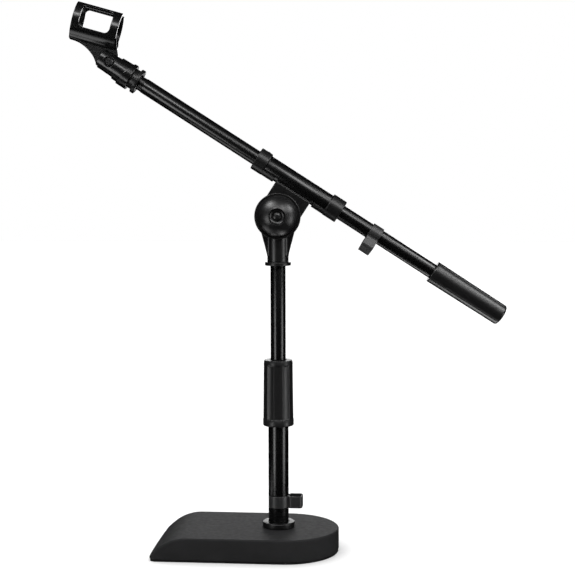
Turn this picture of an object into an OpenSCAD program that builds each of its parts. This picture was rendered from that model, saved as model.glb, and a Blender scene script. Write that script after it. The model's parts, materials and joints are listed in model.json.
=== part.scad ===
// Desktop boom microphone stand: weighted base, telescopic column with a twist
// clutch, tilting boom with a counterweight, and a clamp-style microphone clip.
// Millimetres. The origin is on the table, on the axis of the column. +Z is up,
// +X runs to the base's round end and +Y away from the big tilt knob.

/* [Base] */
// Length of the base along the floor
base_l = 195; // [186:1:204]
// Width of the base
base_w = 114; // [108:1:118]
// Height of the base above the table
base_t = 25; // [23:0.5:28]
// Distance from the column to the middle of the round end
round_end_x = 64; // [61:0.5:66]
// Radius of the rounded-over straight end, seen from the side
nose_r = 48; // [44:0.5:52]
// How far the rounded-over end reaches in from the straight end
nose_run = 41; // [38:0.5:44]
// Slope of the straight ramp below the rounding
nose_slope = 40; // [37.5:2.5:42.5]
// Bevel along the top edge
base_bevel = 1.8; // [1:0.1:2.5]
// Thickness of the anti-slip pad under the base
pad_t = 2.5; // [2:0.5:3]

/* [Column] */
// Outside diameter of the lower tube
lower_d = 21.3; // [20.8:0.1:21.8]
// Wall of the lower tube
lower_wall = 1.6; // [1.4:0.1:1.7]
// Outside diameter of the upper tube and of the boom
slim_d = 15.9; // [15.6:0.1:16.2]
// Wall of the upper tube and of the boom
slim_wall = 1.2; // [1:0.1:1.5]
// Height of the top of the foot ring
foot_ring_top = 31; // [29:0.5:33]
// Height of the bottom of the twist clutch
clutch_z = 134.3; // [132:0.1:137]
// Length of the twist clutch
clutch_h = 69.7; // [68:0.1:71]
// Height of the bottom end of the upper tube
upper_z0 = 130; // [126:1:134]
// Height of the top end of the upper tube
upper_z1 = 303.6; // [300:0.1:307]

/* [Boom joint] */
// Height of the tilt axis
pivot_z = 355.4; // [352:0.1:359]
// Angle of the boom below the horizontal, counterweight end down
boom_angle = 32.8; // [20:0.1:40]
// Angle that the boom and its joint are turned about the column
boom_swing = 3.9; // [0:0.1:10]
// Distance from the tilt axis up to the boom's axis
boom_lift = 38.6; // [38:0.1:41]
// Outside diameter of the boom sleeve
sleeve_d = 21; // [20.6:0.1:21.4]
// Diameter of the collars at the ends of the sleeve
collar_d = 24.7; // [24.2:0.1:25.2]
// Diameter of the big tilt knob
knob_d = 48; // [46:0.5:50]
// Diameter of the boom lock knob
lock_knob_d = 25.2; // [24:0.2:27]

/* [Boom] */
// Distance from the tilt axis to the boom's tip shoulder
tip_l = 195.3; // [185:0.1:200]
// Distance from the tilt axis to the near end of the counterweight
weight_l0 = 167.3; // [160:0.1:175]
// Distance from the tilt axis to the far end of the counterweight's cover
weight_l1 = 251.8; // [245:0.1:258]
// Diameter of the counterweight cover at its near end
weight_d0 = 24; // [23.6:0.1:24.6]
// Diameter of the counterweight cover at its far end
weight_d1 = 22.6; // [22.4:0.1:23.4]

/* [Microphone clip] */
// Distance from the tilt axis to the clip's screw
clip_l = 231.5; // [228:0.1:236]
// Angle between the clip's barrel and the boom
clip_angle = 17.5; // [10:0.5:18]
// How far the clip is turned about the boom, its screw head upwards
clip_twist = 7; // [0:1:20]
// Outside diameter of the clip's barrel
barrel_d = 39.4; // [39:0.1:40]
// Wall of the clip's barrel
barrel_wall = 2.9; // [2.5:0.1:3.2]
// Length of the clip's barrel
barrel_len = 48; // [46:0.5:52]
// Opening along the top of the barrel, as an angle
barrel_gap = 50; // [46:1:52]

/* [Hidden] */

$fn = 96;
eps = 0.5;            // how far a cutter runs past the face it cuts
fit = 0.02;           // gap of a pressed or glued seat
run = 0.06;           // radial gap of a running fit

// Colours
black_coat = [0.05, 0.05, 0.055];
black_plastic = [0.10, 0.10, 0.105];
rubber_black = [0.07, 0.07, 0.07];
zinc = [0.62, 0.63, 0.65];
brass_gold = [0.83, 0.62, 0.24];
nylon = [0.86, 0.85, 0.80];

// Base
base_r = base_w / 2;
round_x = round_end_x - base_r;        // centre of the round end
straight_x = round_end_x - base_l;     // the straight end
corner_r = 8;                          // corners of the straight end, in plan
bow_r = 900;                           // slight bow of the straight end, in plan
pad_inset = 0.6;
cast_wall = 11;                        // wall round the hollow underside
cast_roof_z = 13;                      // underside of the casting's roof
boss_r = 17;
rib_t = 8;
rib_x = [-40, -82];
bolt_r = 5;
bolt_clear = 0.5;
bolt_head_h = 6.4;
bolt_head_r = 9.8;                     // across the corners
bolt_seat_z = 12.5;
bolt_seat_r = 12;
washer_t = 2;

// Column
lower_r = lower_d / 2;
lower_ri = lower_r - lower_wall;
slim_r = slim_d / 2;
slim_ri = slim_r - slim_wall;
foot_ring_r = 17;
plug_h = 20;
clutch_top = clutch_z + clutch_h;
clutch_rim_h = 7;
grip_r_low = 16.2;
grip_r_high = 15.3;
grip_r_top = 14.6;
grip_shoulder = 4;
flutes = 11;
flute_r = 8.3;
flute_depth = 0.9;
flute_turn = -85;                      // direction of the first flute
flute_taper = 0.8;                     // degrees that each flute leans in
body_r = 13.2;                         // outside of the fixed clutch body
body_z0 = 148;
body_z1 = 186;
lower_top = 182;
collet_z1 = 198;
collet_r = 10.6;
bush_h = 20;
stud_top = 320;
ring_t = 3.6;
lock_ring_r = 13.6;
stud_r = slim_r - 0.05;

// Cable clips
clip_h = 12.4;
strip_t = 1.4;
loop_depth = 17;                       // across the loop
loop_reach = 15;                       // from the tube's surface to the loop's end
loop_corner = 3.6;
mouth_half = 34;                       // half angle of the snap-on mouth
waist_half = 14;                       // half angle where the strip leaves the tube
boom_clip_roll = -32;                  // turns the boom clip's loop towards the front
column_clip_z = 46.8;
boom_clip_l = 88.8;

// Tilt joint
post_r = 11.1;
post_flare_z = 314.2;                  // where the post starts to widen
post_boss_top = 333.4;
tongue_r = 21;
tongue_half = 6;                       // half thickness of the post's tongue
disc_t = 0.8;
disc_gap = 0.05;
cheek_in = tongue_half + disc_t + 2 * disc_gap + 0.05;
cheek_out = 10.9;
bracket_half = 20.85;                  // half width of the bracket along the boom
bracket_top = boom_lift - 9;
bridge_low = 23.4;
tilt_bolt_r = 4;
tilt_bore_r = tilt_bolt_r + run;
sleeve_r = sleeve_d / 2;
sleeve_ri = 8.9;
sleeve_half = 47.5;
collar_r = collar_d / 2;
front_collar_l = [-51, -38];
rear_collar_l = [37.5, 53.2];
collar_wall = 3;
tongue_len = 14;                       // thin tongue under the sleeve
tongue_arc = 110;
tongue_ri = sleeve_r + 0.16;
tongue_ro = 12;
skin_gap = 0.1;                        // between the sleeve and the lock boss
lock_l = -43.4;                        // the boom lock's place along the boom
lock_boss_r = 6.5;
lock_boss_y = 16;
lock_screw_r = 3;
lock_knob_y = [16.4, 28.5];

// Tilt knob, measured outwards from the bracket's face
knob_r = knob_d / 2;
spacer_y = [cheek_out + 0.05, cheek_out + 1.6];
knob_back = spacer_y[1] + 0.1;
rim_back = 13.8;
rim_front = 15.8;
dome_r = 21.3;
dome_h = 16.6;
dish_r = 8.6;
dish_y = 27;
insert_r = 6.4;

// Clip end of the boom
boom_l0 = -tip_l + 5.7;                // end of the boom tube
boom_l1 = weight_l1 - 4;
tip_ring_l = [-tip_l - 8.9, -tip_l];
tip_flange = 3.9;
tip_flange_r = 13.4;
tip_neck_r = 10.85;
tip_stud_r = 4.75;
socket_mouth = tip_ring_l[0] - 0.1;
socket_depth = 13;
socket_r_mouth = 12.75;
socket_r_ears = 11.8;
socket_rim_r = 13.9;
socket_rim = 12;                       // longest, below; shortest on top
rim_mid = 8;
rim_slant = 15;                        // degrees that the rim's edge leans
ear_end = 11.2;                        // from the screw to the end of the ears
ear_round_top = 7;
ear_round_low = 4;
ear_slot = 13.2;
slot_floor = 9.2;                      // from the screw to the slot's floor
clip_screw_r = 2.5;
clip_head_r = 4.3;
clip_recess_r = 5.6;
clip_recess_y = 9.6;
barrel_r = barrel_d / 2;
barrel_ri = barrel_r - barrel_wall;
barrel_up = 34.5;                      // from the screw to the barrel's axis
barrel_x0 = -47.2;
window_x = [-39.8, -7.4];
window_mid = 14;                       // degrees above the side of the barrel
window_half = 38;
window_corner = 5.1;
tongue_w = 12.4;
boss_clip_r = 8.6;
barrel_x1 = barrel_x0 + barrel_len;
neck_hollow_r = 39.2;                  // radius of the neck's concave front edge

// Counterweight
core_r = 10.2;
weight_r0 = weight_d0 / 2;
weight_r1 = weight_d1 / 2;
crease_angles = [-42, 61, 138, 241];
cap_bulge = 2.8;
cap_seat = 4;

// ---------------------------------------------------------------- helpers

module ring(r_out, r_in, h) {
  difference() {
    cylinder(r = r_out, h = h);
    translate([0, 0, -eps]) cylinder(r = r_in, h = h + 2 * eps);
  }
}

// Turns a shape drawn along +Z to lie along +X, or along +Y
module along_x() rotate([0, 90, 0]) children();
module along_y() rotate([-90, 0, 0]) children();

// Turned about the column with the boom
module swung() rotate([0, 0, boom_swing]) children();

// Tilt frame: X along the boom to the counterweight, origin on the tilt axis
module on_tilt_axis() swung() translate([0, 0, pivot_z]) rotate([0, boom_angle, 0]) children();

// Boom frame: as the tilt frame, with its origin on the boom's axis
module on_boom() on_tilt_axis() translate([0, 0, boom_lift]) children();

// Clip base frame: origin on the clip's screw, X along the boom
module on_clip_base() on_boom() rotate([-clip_twist, 0, 0]) translate([-clip_l, 0, 0]) children();

// Clip frame: as the clip base frame, with X along the barrel
module on_clip() on_clip_base() rotate([0, -clip_angle, 0]) children();

module rounded_rect(x0, x1, z0, z1, r) {
  translate([x0 + r, z0]) square([x1 - x0 - 2 * r, z1 - z0]);
  translate([x0, z0 + r]) square([x1 - x0, z1 - z0 - 2 * r]);
  for (x = [x0 + r, x1 - r], z = [z0 + r, z1 - r]) translate([x, z]) circle(r = r);
}

// ---------------------------------------------------------------- base

// Plan of the base: round at +X, straight and slightly bowed at -X
module base_plan(inset) {
  r = base_r - inset;
  x0 = straight_x + inset;
  intersection() {
    union() {
      translate([round_x, 0]) circle(r = r);
      translate([x0 + corner_r, -r]) square([round_x - x0 - corner_r, 2 * r]);
      translate([x0, -r + corner_r]) square([round_x - x0, 2 * (r - corner_r)]);
      for (s = [-1, 1]) translate([x0 + corner_r, s * (r - corner_r)]) circle(r = corner_r);
    }
    translate([x0 + bow_r, 0]) circle(r = bow_r, $fn = 720);
  }
}

// Side view of the base, with the rounded-over end, lowered by drop
module base_side(drop) {
  top = base_t - drop;
  tangent_x = straight_x + nose_run;
  translate([0, base_w, 0]) rotate([90, 0, 0]) linear_extrude(2 * base_w)
    difference() {
      translate([straight_x - eps, pad_t]) square([base_l + 2 * eps, top - pad_t]);
      difference() {
        translate([straight_x - 2 * eps, top - nose_r]) square([nose_run + 2 * eps, nose_r + eps]);
        translate([tangent_x, top - nose_r]) {
          circle(r = nose_r, $fn = 144);
          rotate(90 + nose_slope) square([nose_r, nose_r]);
        }
      }
    }
}

module base_block(inset, drop) {
  intersection() {
    translate([0, 0, pad_t]) linear_extrude(base_t) base_plan(inset);
    base_side(drop);
  }
}

module base_hollow() {
  difference() {
    translate([0, 0, pad_t - eps]) linear_extrude(cast_roof_z - pad_t + eps)
      intersection() {
        base_plan(cast_wall);
        translate([straight_x + nose_run, -base_w]) square([base_l, 2 * base_w]);
      }
    cylinder(r = boss_r, h = base_t);
    for (x = rib_x) translate([x, -base_w / 2, 0]) cube([rib_t, base_w, base_t]);
    translate([straight_x, -rib_t / 2, 0]) cube([base_l, rib_t, base_t]);
  }
}

module base_casting() {
  color(black_plastic) difference() {
    hull() {
      base_block(base_bevel, 0);
      base_block(0, base_bevel);
    }
    base_hollow();
    translate([0, 0, pad_t - eps]) cylinder(r = bolt_seat_r, h = bolt_seat_z - pad_t + eps);
    cylinder(r = bolt_r + bolt_clear, h = base_t + eps);
  }
}

module base_pad() {
  color(rubber_black) linear_extrude(pad_t) base_plan(pad_inset);
}

module base_washer() {
  color(zinc) translate([0, 0, bolt_seat_z - washer_t]) ring(11, bolt_r + 0.3, washer_t);
}

module base_bolt() {
  head_top = bolt_seat_z - washer_t;
  color(zinc) {
    translate([0, 0, head_top - bolt_head_h]) cylinder(r = bolt_head_r, h = bolt_head_h, $fn = 6);
    translate([0, 0, head_top]) cylinder(r = bolt_r, h = base_t + plug_h - 2 - head_top);
  }
}

// ---------------------------------------------------------------- column

module foot_plug() {
  color(zinc) translate([0, 0, base_t]) ring(lower_ri - fit, bolt_r + fit, plug_h);
}

module pole_foot_ring() {
  h = foot_ring_top - base_t;
  color(black_plastic) translate([0, 0, base_t]) rotate_extrude()
    polygon([
      [lower_r + fit, 0], [foot_ring_r, 0], [foot_ring_r, h - 0.7],
      [foot_ring_r - 0.7, h], [lower_r + fit, h]
    ]);
}

module lower_tube() {
  color(black_coat) translate([0, 0, base_t]) ring(lower_r, lower_ri, lower_top - base_t);
}

module clutch_body() {
  color(black_plastic) {
    translate([0, 0, body_z0]) ring(body_r, lower_r + fit, lower_top - body_z0);
    translate([0, 0, lower_top]) ring(body_r, slim_r + 0.3, body_z1 - lower_top);
  }
}

module clutch_collet() {
  color(nylon) difference() {
    translate([0, 0, body_z1]) rotate_extrude()
      polygon([
        [slim_r + run, 0], [collet_r + 1.6, 0], [collet_r, collet_z1 - body_z1],
        [slim_r + run, collet_z1 - body_z1]
      ]);
    translate([0, -1, body_z1 - eps]) cube([collet_r + 5, 2, collet_z1 - body_z1 + 2 * eps]);
  }
}

module clutch_grip() {
  inner = body_r + run;
  color(black_plastic) difference() {
    translate([0, 0, clutch_z]) rotate_extrude()
      polygon([
        [lower_r + 0.4, 0], [grip_r_low - 1, 0], [grip_r_low, 1],
        [grip_r_low, clutch_rim_h], [grip_r_high, clutch_h - grip_shoulder],
        [grip_r_top, clutch_h - 0.4], [grip_r_top - 0.4, clutch_h],
        [slim_r + 0.4, clutch_h], [slim_r + 0.4, collet_z1 + 1 - clutch_z],
        [collet_r + 0.4, collet_z1 + 1 - clutch_z], [inner, body_z1 - clutch_z],
        [inner, body_z0 - clutch_z - 1], [lower_r + 0.4, body_z0 - clutch_z - 3]
      ]);
    for (i = [0 : flutes - 1]) rotate([0, 0, flute_turn + i * 360 / flutes])
      translate([grip_r_low - flute_depth + flute_r, 0, clutch_z + clutch_rim_h])
        rotate([0, -flute_taper, 0]) cylinder(r = flute_r, h = clutch_h, $fn = 64);
  }
}

// Cable clip seen along the tube: a strip that hugs the tube, pinches in at a
// waist and opens into a loop on the +X side
module cable_clip_plan(tube_r) {
  r_in = tube_r + run;
  r_out = r_in + strip_t;
  x0 = r_in + 0.2;
  x1 = tube_r + loop_reach;
  half = loop_depth / 2;
  far = 3 * x1;
  difference() {
    union() {
      circle(r = r_out);
      rounded_rect(x0, x1, -half, half, loop_corner);
    }
    circle(r = r_in);
    difference() {
      rounded_rect(x0 + strip_t, x1 - strip_t, -half + strip_t, half - strip_t,
                   loop_corner - strip_t);
      circle(r = r_out);
    }
    polygon([
      [0, 0], [-far * cos(mouth_half), far * sin(mouth_half)], [-far, 0],
      [-far * cos(mouth_half), -far * sin(mouth_half)]
    ]);
    waist = r_in * sin(waist_half);
    translate([0, -waist]) square([x0 + strip_t + 1, 2 * waist]);
  }
}

module column_cable_clip() {
  color(black_plastic) translate([0, 0, column_clip_z]) linear_extrude(clip_h)
    cable_clip_plan(lower_r);
}

module column_guide_bush() {
  color(nylon) translate([0, 0, upper_z0]) ring(lower_ri - run, slim_r + run, bush_h);
}

module upper_end_plug() {
  color(black_plastic) {
    translate([0, 0, upper_z0 - 3]) cylinder(r = lower_ri - 0.4, h = 2.9);
    translate([0, 0, upper_z0 - 0.1]) cylinder(r = slim_ri - fit, h = 12);
  }
}

module upper_tube() {
  color(black_coat) translate([0, 0, upper_z0]) ring(slim_r, slim_ri, upper_z1 - upper_z0);
}

module upper_stud() {
  color(zinc) {
    translate([0, 0, upper_z1 - 20]) cylinder(r = slim_ri - fit, h = 20);
    translate([0, 0, upper_z1]) cylinder(r = stud_r, h = stud_top - upper_z1);
  }
}

module upper_lock_ring() {
  color(black_plastic) translate([0, 0, upper_z1]) rotate_extrude()
    polygon([
      [stud_r + fit, 0], [lock_ring_r - 0.5, 0], [lock_ring_r, 0.5],
      [lock_ring_r, ring_t - 0.5], [lock_ring_r - 0.5, ring_t], [stud_r + fit, ring_t]
    ]);
}

// ---------------------------------------------------------------- tilt joint

// Tongue of the post seen from the front: a disc with edges that flare up to it
module tongue_face() {
  rise = pivot_z - post_flare_z;
  reach = norm([post_r, rise]);
  lean = atan2(post_r, rise) + acos(tongue_r / reach);
  tx = tongue_r * sin(lean);
  tz = -tongue_r * cos(lean);
  circle(r = tongue_r);
  polygon([[-post_r, -rise], [post_r, -rise], [tx, tz], [0, tongue_r / 2], [-tx, tz]]);
}

module tilt_post() {
  z0 = upper_z1 + ring_t;
  color(black_coat) swung() difference() {
    union() {
      translate([0, 0, z0]) cylinder(r = post_r, h = post_boss_top - z0);
      translate([0, tongue_half, pivot_z]) rotate([90, 0, 0])
        linear_extrude(2 * tongue_half) tongue_face();
    }
    translate([0, 0, z0 - eps]) cylinder(r = stud_r + fit, h = stud_top + 1 - z0 + eps);
    translate([0, -tongue_half - eps, pivot_z]) along_y()
      cylinder(r = tilt_bore_r, h = 2 * tongue_half + 2 * eps);
  }
}

module friction_washers() {
  color(nylon) swung() for (y = [-tongue_half - disc_gap - disc_t, tongue_half + disc_gap])
    translate([0, y, pivot_z]) along_y() ring(tongue_r - 1.5, tilt_bolt_r + 0.3, disc_t);
}

// One cheek of the bracket, its bridge and its half-round end, seen from the front
module cheek_face() {
  circle(r = bracket_half);
  translate([-bracket_half, 0]) square([2 * bracket_half, bracket_top]);
}

module tilt_bracket() {
  color(black_coat) on_tilt_axis() difference() {
    translate([0, cheek_out, 0]) rotate([90, 0, 0]) linear_extrude(2 * cheek_out) cheek_face();
    translate([0, cheek_in, 0]) rotate([90, 0, 0]) linear_extrude(2 * cheek_in) {
      translate([-bracket_half - eps, -bracket_half - eps])
        square([2 * (bracket_half + eps), bridge_low + bracket_half + eps]);
    }
    translate([0, -cheek_out - eps, 0]) along_y() cylinder(r = tilt_bore_r, h = 2 * (cheek_out + eps));
    translate([-sleeve_half, 0, boom_lift]) along_x() cylinder(r = sleeve_r + fit, h = 2 * sleeve_half);
  }
}

module boom_sleeve() {
  color(black_coat) on_boom() difference() {
    translate([-sleeve_half, 0, 0]) along_x() ring(sleeve_r, sleeve_ri, 2 * sleeve_half);
    translate([lock_l, 0, 0]) along_y() cylinder(r = lock_screw_r + run, h = collar_r);
  }
}

// Collar for one end of the sleeve, drawn along +Z with its closed end at 0:
// skirt outside the sleeve, bush inside it, and the tongue under the sleeve
module collar(len, wall) {
  rotate_extrude() polygon([
    [slim_r + run, 0], [collar_r - 0.8, 0], [collar_r, 0.8], [collar_r, len - 0.4],
    [collar_r - 0.4, len], [sleeve_r + fit, len], [sleeve_r + fit, wall],
    [sleeve_ri - fit, wall], [sleeve_ri - fit, len + 2], [slim_r + run, len + 2]
  ]);
  rotate([0, 0, -tongue_arc / 2]) translate([0, 0, len - 1]) rotate_extrude(angle = tongue_arc)
    translate([tongue_ri, 0]) square([tongue_ro - tongue_ri, tongue_len + 1]);
}

module front_collar() {
  len = front_collar_l[1] - front_collar_l[0];
  color(black_plastic) on_boom() difference() {
    union() {
      translate([front_collar_l[0], 0, 0]) along_x() collar(len, collar_wall + 0.5);
      translate([lock_l, collar_r - 2, 0]) along_y() cylinder(r = lock_boss_r, h = lock_boss_y - collar_r + 2);
    }
    translate([lock_l, 0, 0]) along_y() cylinder(r = lock_screw_r + run, h = lock_boss_y + eps);
    translate([front_collar_l[0] + collar_wall + 0.5, 0, 0]) along_x()
      ring(sleeve_r + skin_gap, sleeve_r - 0.5, len + 3);
  }
}

module rear_collar() {
  len = rear_collar_l[1] - rear_collar_l[0];
  color(black_plastic) on_boom() translate([rear_collar_l[1], 0, 0]) mirror([1, 0, 0])
    along_x() collar(len, rear_collar_l[1] - sleeve_half);
}

module tilt_bolt() {
  head_y = cheek_out + 1.6;
  color(zinc) on_tilt_axis() {
    translate([0, -23.5, 0]) along_y() cylinder(r = tilt_bolt_r, h = 23.5 + head_y);
    translate([0, head_y, 0]) along_y() cylinder(r = 7.5, h = 5.3, $fn = 6);
  }
}

module tilt_bolt_washer() {
  color(zinc) on_tilt_axis() translate([0, cheek_out, 0]) along_y() ring(8.4, tilt_bolt_r + 0.2, 1.6);
}

module knob_spacer() {
  color(zinc) on_tilt_axis() translate([0, -spacer_y[1], 0]) along_y()
    ring(9, tilt_bolt_r + 0.2, spacer_y[1] - spacer_y[0]);
}

// Point of the knob's dome at a given radius, measured out from the bracket
function dome_y(r) = rim_front + dome_h * sqrt(1 - pow(r / (dome_r + 0.3), 2));

module tilt_knob() {
  dome_steps = 14;
  shell = 3;
  outer = [for (i = [0 : dome_steps]) let (r = dome_r + (dish_r - dome_r) * i / dome_steps)
    [r, dome_y(r)]];
  color(black_plastic) on_tilt_axis() rotate([90, 0, 0]) difference() {
    rotate_extrude() polygon(concat(
      [[0, knob_back], [9.5, knob_back], [9.5, 19], [dome_r - shell, 17.5],
       [dome_r - shell, rim_back], [knob_r - 0.5, rim_back], [knob_r, rim_back + 0.5],
       [knob_r, rim_front - 0.5], [knob_r - 0.5, rim_front]],
      outer,
      [[dish_r - 1.6, dish_y + 1.2], [5.6, dish_y], [0, dish_y]]
    ));
    translate([0, 0, knob_back - eps]) cylinder(r = tilt_bolt_r + 0.3, h = 15);
    translate([0, 0, knob_back - eps]) cylinder(r = insert_r, h = 12, $fn = 6);
  }
}

module knob_insert() {
  color(brass_gold) on_tilt_axis() rotate([90, 0, 0]) translate([0, 0, knob_back]) difference() {
    cylinder(r = insert_r - fit, h = 11, $fn = 6);
    translate([0, 0, -eps]) cylinder(r = tilt_bolt_r + fit, h = 12);
  }
}

module knob_cap() {
  color(black_plastic) on_tilt_axis() rotate([90, 0, 0]) translate([0, 0, dish_y]) rotate_extrude()
    polygon([[0, 0], [4.5, 0], [4.5, 0.7], [3.6, 1.5], [2.2, 2.1], [0, 2.3]]);
}

module boom_lock_pad() {
  color(nylon) on_boom() translate([lock_l, slim_r + 0.05, 0]) along_y()
    cylinder(r = lock_screw_r - 0.2, h = 1.6);
}

module boom_lock_screw() {
  y0 = slim_r + 1.7;
  color(zinc) on_boom() translate([lock_l, y0, 0]) along_y()
    cylinder(r = lock_screw_r, h = lock_knob_y[1] - 4 - y0);
}

module boom_lock_knob() {
  r = lock_knob_d / 2;
  h = lock_knob_y[1] - lock_knob_y[0];
  color(black_plastic) on_boom() translate([lock_l, lock_knob_y[0], 0]) along_y() difference() {
    rotate_extrude() polygon([
      [0, 0], [r - 4, 0], [r - 0.6, 3], [r, 3.8], [r, h - 3], [r - 0.8, h - 1.4],
      [r - 3.5, h], [0, h]
    ]);
    translate([0, 0, -eps]) cylinder(r = lock_screw_r + fit, h = h - 4 + eps);
    for (i = [0 : 17]) rotate([0, 0, i * 20]) translate([r + 1.1, 0, 2]) cylinder(r = 1.6, h = h, $fn = 24);
  }
}

// ---------------------------------------------------------------- boom

module boom_tube() {
  color(black_coat) on_boom() translate([boom_l0, 0, 0]) along_x()
    ring(slim_r, slim_ri, boom_l1 - boom_l0);
}

module tip_stud() {
  color(black_coat) on_boom() {
    translate([boom_l0, 0, 0]) along_x() cylinder(r = slim_ri - fit, h = 16);
    translate([-tip_l, 0, 0]) along_x() cylinder(r = slim_r - 0.45, h = boom_l0 + tip_l);
    translate([socket_mouth - socket_depth + 0.4, 0, 0]) along_x()
      cylinder(r = tip_stud_r, h = socket_depth - 0.4 - socket_mouth - tip_l);
  }
}

// Stepped ring that locks the clip: a thin flange with a neck towards the clip
module tip_ring() {
  len = tip_ring_l[1] - tip_ring_l[0];
  color(black_plastic) on_boom() translate([tip_ring_l[0], 0, 0]) along_x() rotate_extrude()
    polygon([
      [tip_stud_r + fit, 0], [tip_neck_r - 0.3, 0], [tip_neck_r, 0.3],
      [tip_neck_r, len - tip_flange], [tip_flange_r - 0.5, len - tip_flange],
      [tip_flange_r, len - tip_flange + 0.5], [tip_flange_r, len - 0.5],
      [tip_flange_r - 0.5, len], [tip_stud_r + fit, len]
    ]);
}

module thread_adapter() {
  color(brass_gold) on_boom() difference() {
    translate([socket_mouth - socket_depth + 0.5, 0, 0]) along_x()
      ring(stud_r, tip_stud_r + fit, socket_depth - 0.5);
    translate([socket_mouth - 1.5, -1, -stud_r - 1]) cube([2, 2, 2 * stud_r + 2]);
  }
}

module boom_cable_clip() {
  color(black_plastic) on_boom() translate([boom_clip_l, 0, 0]) rotate([boom_clip_roll, 0, 0])
    along_x() linear_extrude(clip_h) cable_clip_plan(slim_r);
}

module counterweight_slug() {
  color(zinc) on_boom() translate([weight_l0, 0, 0]) along_x()
    cylinder(r = slim_ri - fit, h = boom_l1 - weight_l0 - 1);
}

module counterweight_core() {
  color(zinc) on_boom() translate([weight_l0 + 3, 0, 0]) along_x()
    ring(core_r, slim_r + fit, boom_l1 - weight_l0 - 3);
}

// Grip-like cover with fine raised creases along it
module counterweight_cover() {
  len = weight_l1 - weight_l0;
  lean = atan((weight_r0 - weight_r1) / len);
  color(rubber_black) on_boom() translate([weight_l0, 0, 0]) along_x() {
    rotate_extrude() polygon([
      [slim_r + fit, 0], [weight_r0 - 0.6, 0], [weight_r0, 0.6], [weight_r1, len],
      [core_r + fit, len], [core_r + fit, 3], [slim_r + fit, 3]
    ]);
    for (a = crease_angles) rotate([0, 0, -90 - a]) translate([weight_r0 - 0.25, 0, 1])
      rotate([0, -lean, 0]) cylinder(r = 0.35, h = len - 2, $fn = 24);
  }
}

module counterweight_cap() {
  color(rubber_black) on_boom() translate([weight_l1 - cap_seat, 0, 0]) along_x() rotate_extrude()
    polygon([
      [0, 0.1], [core_r, 0.1], [core_r, cap_seat], [weight_r1 - 0.2, cap_seat],
      [weight_r1 - 1.2, cap_seat + 1.4], [weight_r1 - 4.2, cap_seat + cap_bulge - 0.4],
      [0, cap_seat + cap_bulge]
    ]);
}

// ---------------------------------------------------------------- clip

// Side view of the ears' end: rounded more at the top than below
module ear_outline(reach) {
  half = socket_rim_r + 1;
  translate([-ear_end + ear_round_top, 0]) square([reach + ear_end - ear_round_top, half]);
  translate([-ear_end + ear_round_low, -half]) square([reach + ear_end - ear_round_low, half]);
  translate([-ear_end, -socket_r_ears + ear_round_low])
    square([ear_end, 2 * socket_r_ears - ear_round_low - ear_round_top]);
  translate([-ear_end + ear_round_top, socket_r_ears - ear_round_top]) circle(r = ear_round_top);
  translate([-ear_end + ear_round_low, -socket_r_ears + ear_round_low]) circle(r = ear_round_low);
}

module clip_base() {
  reach = clip_l + socket_mouth;          // from the screw to the socket's mouth
  color(black_plastic) on_clip_base() difference() {
    intersection() {
      union() {
        translate([-ear_end, 0, 0]) along_x()
          cylinder(r1 = socket_r_ears, r2 = socket_r_mouth, h = ear_end + reach);
        difference() {
          translate([reach - socket_rim, 0, 0]) along_x() cylinder(r = socket_rim_r, h = socket_rim);
          translate([reach - rim_mid, 0, 0]) rotate([0, rim_slant, 0])
            translate([-30, -20, -20]) cube([30, 40, 40]);
        }
      }
      translate([0, 20, 0]) rotate([90, 0, 0]) linear_extrude(40) ear_outline(reach);
    }
    translate([-ear_end - eps, -ear_slot / 2, -20]) cube([ear_end + slot_floor + eps, ear_slot, 40]);
    translate([reach - socket_depth, 0, 0]) along_x() cylinder(r = stud_r + fit, h = socket_depth + eps);
    translate([0, -20, 0]) along_y() cylinder(r = clip_screw_r + run, h = 40);
    translate([0, -20, 0]) along_y() cylinder(r = clip_recess_r, h = 20 - clip_recess_y);
    translate([0, clip_recess_y, 0]) along_y() cylinder(r = 4.8, h = 10, $fn = 6);
  }
}

// Side view of the neck: a concave front edge, a nearly straight back edge and
// the round boss between the ears
module neck_face() {
  circle(r = boss_clip_r);
  difference() {
    polygon([
      [barrel_x0, barrel_up], [barrel_x0, 14.6], [-16, -4], [0, -boss_clip_r],
      [boss_clip_r, 0], [6.4, 10.7], [3, 18.5], [barrel_x1, 24.6], [barrel_x1, barrel_up]
    ]);
    translate([-47, -24.6]) circle(r = neck_hollow_r);
  }
}

module barrel_ring() {
  lip = barrel_wall / 2;
  mid = barrel_r - lip;
  far = 2 * barrel_r;
  half = barrel_gap / 2;
  difference() {
    circle(r = barrel_r);
    circle(r = barrel_ri);
    polygon([[0, 0], [-far * sin(half), far * cos(half)], [0, far], [far * sin(half), far * cos(half)]]);
  }
  for (s = [-1, 1]) translate([s * mid * sin(half), mid * cos(half)]) circle(r = lip - 0.04);
}

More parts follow.
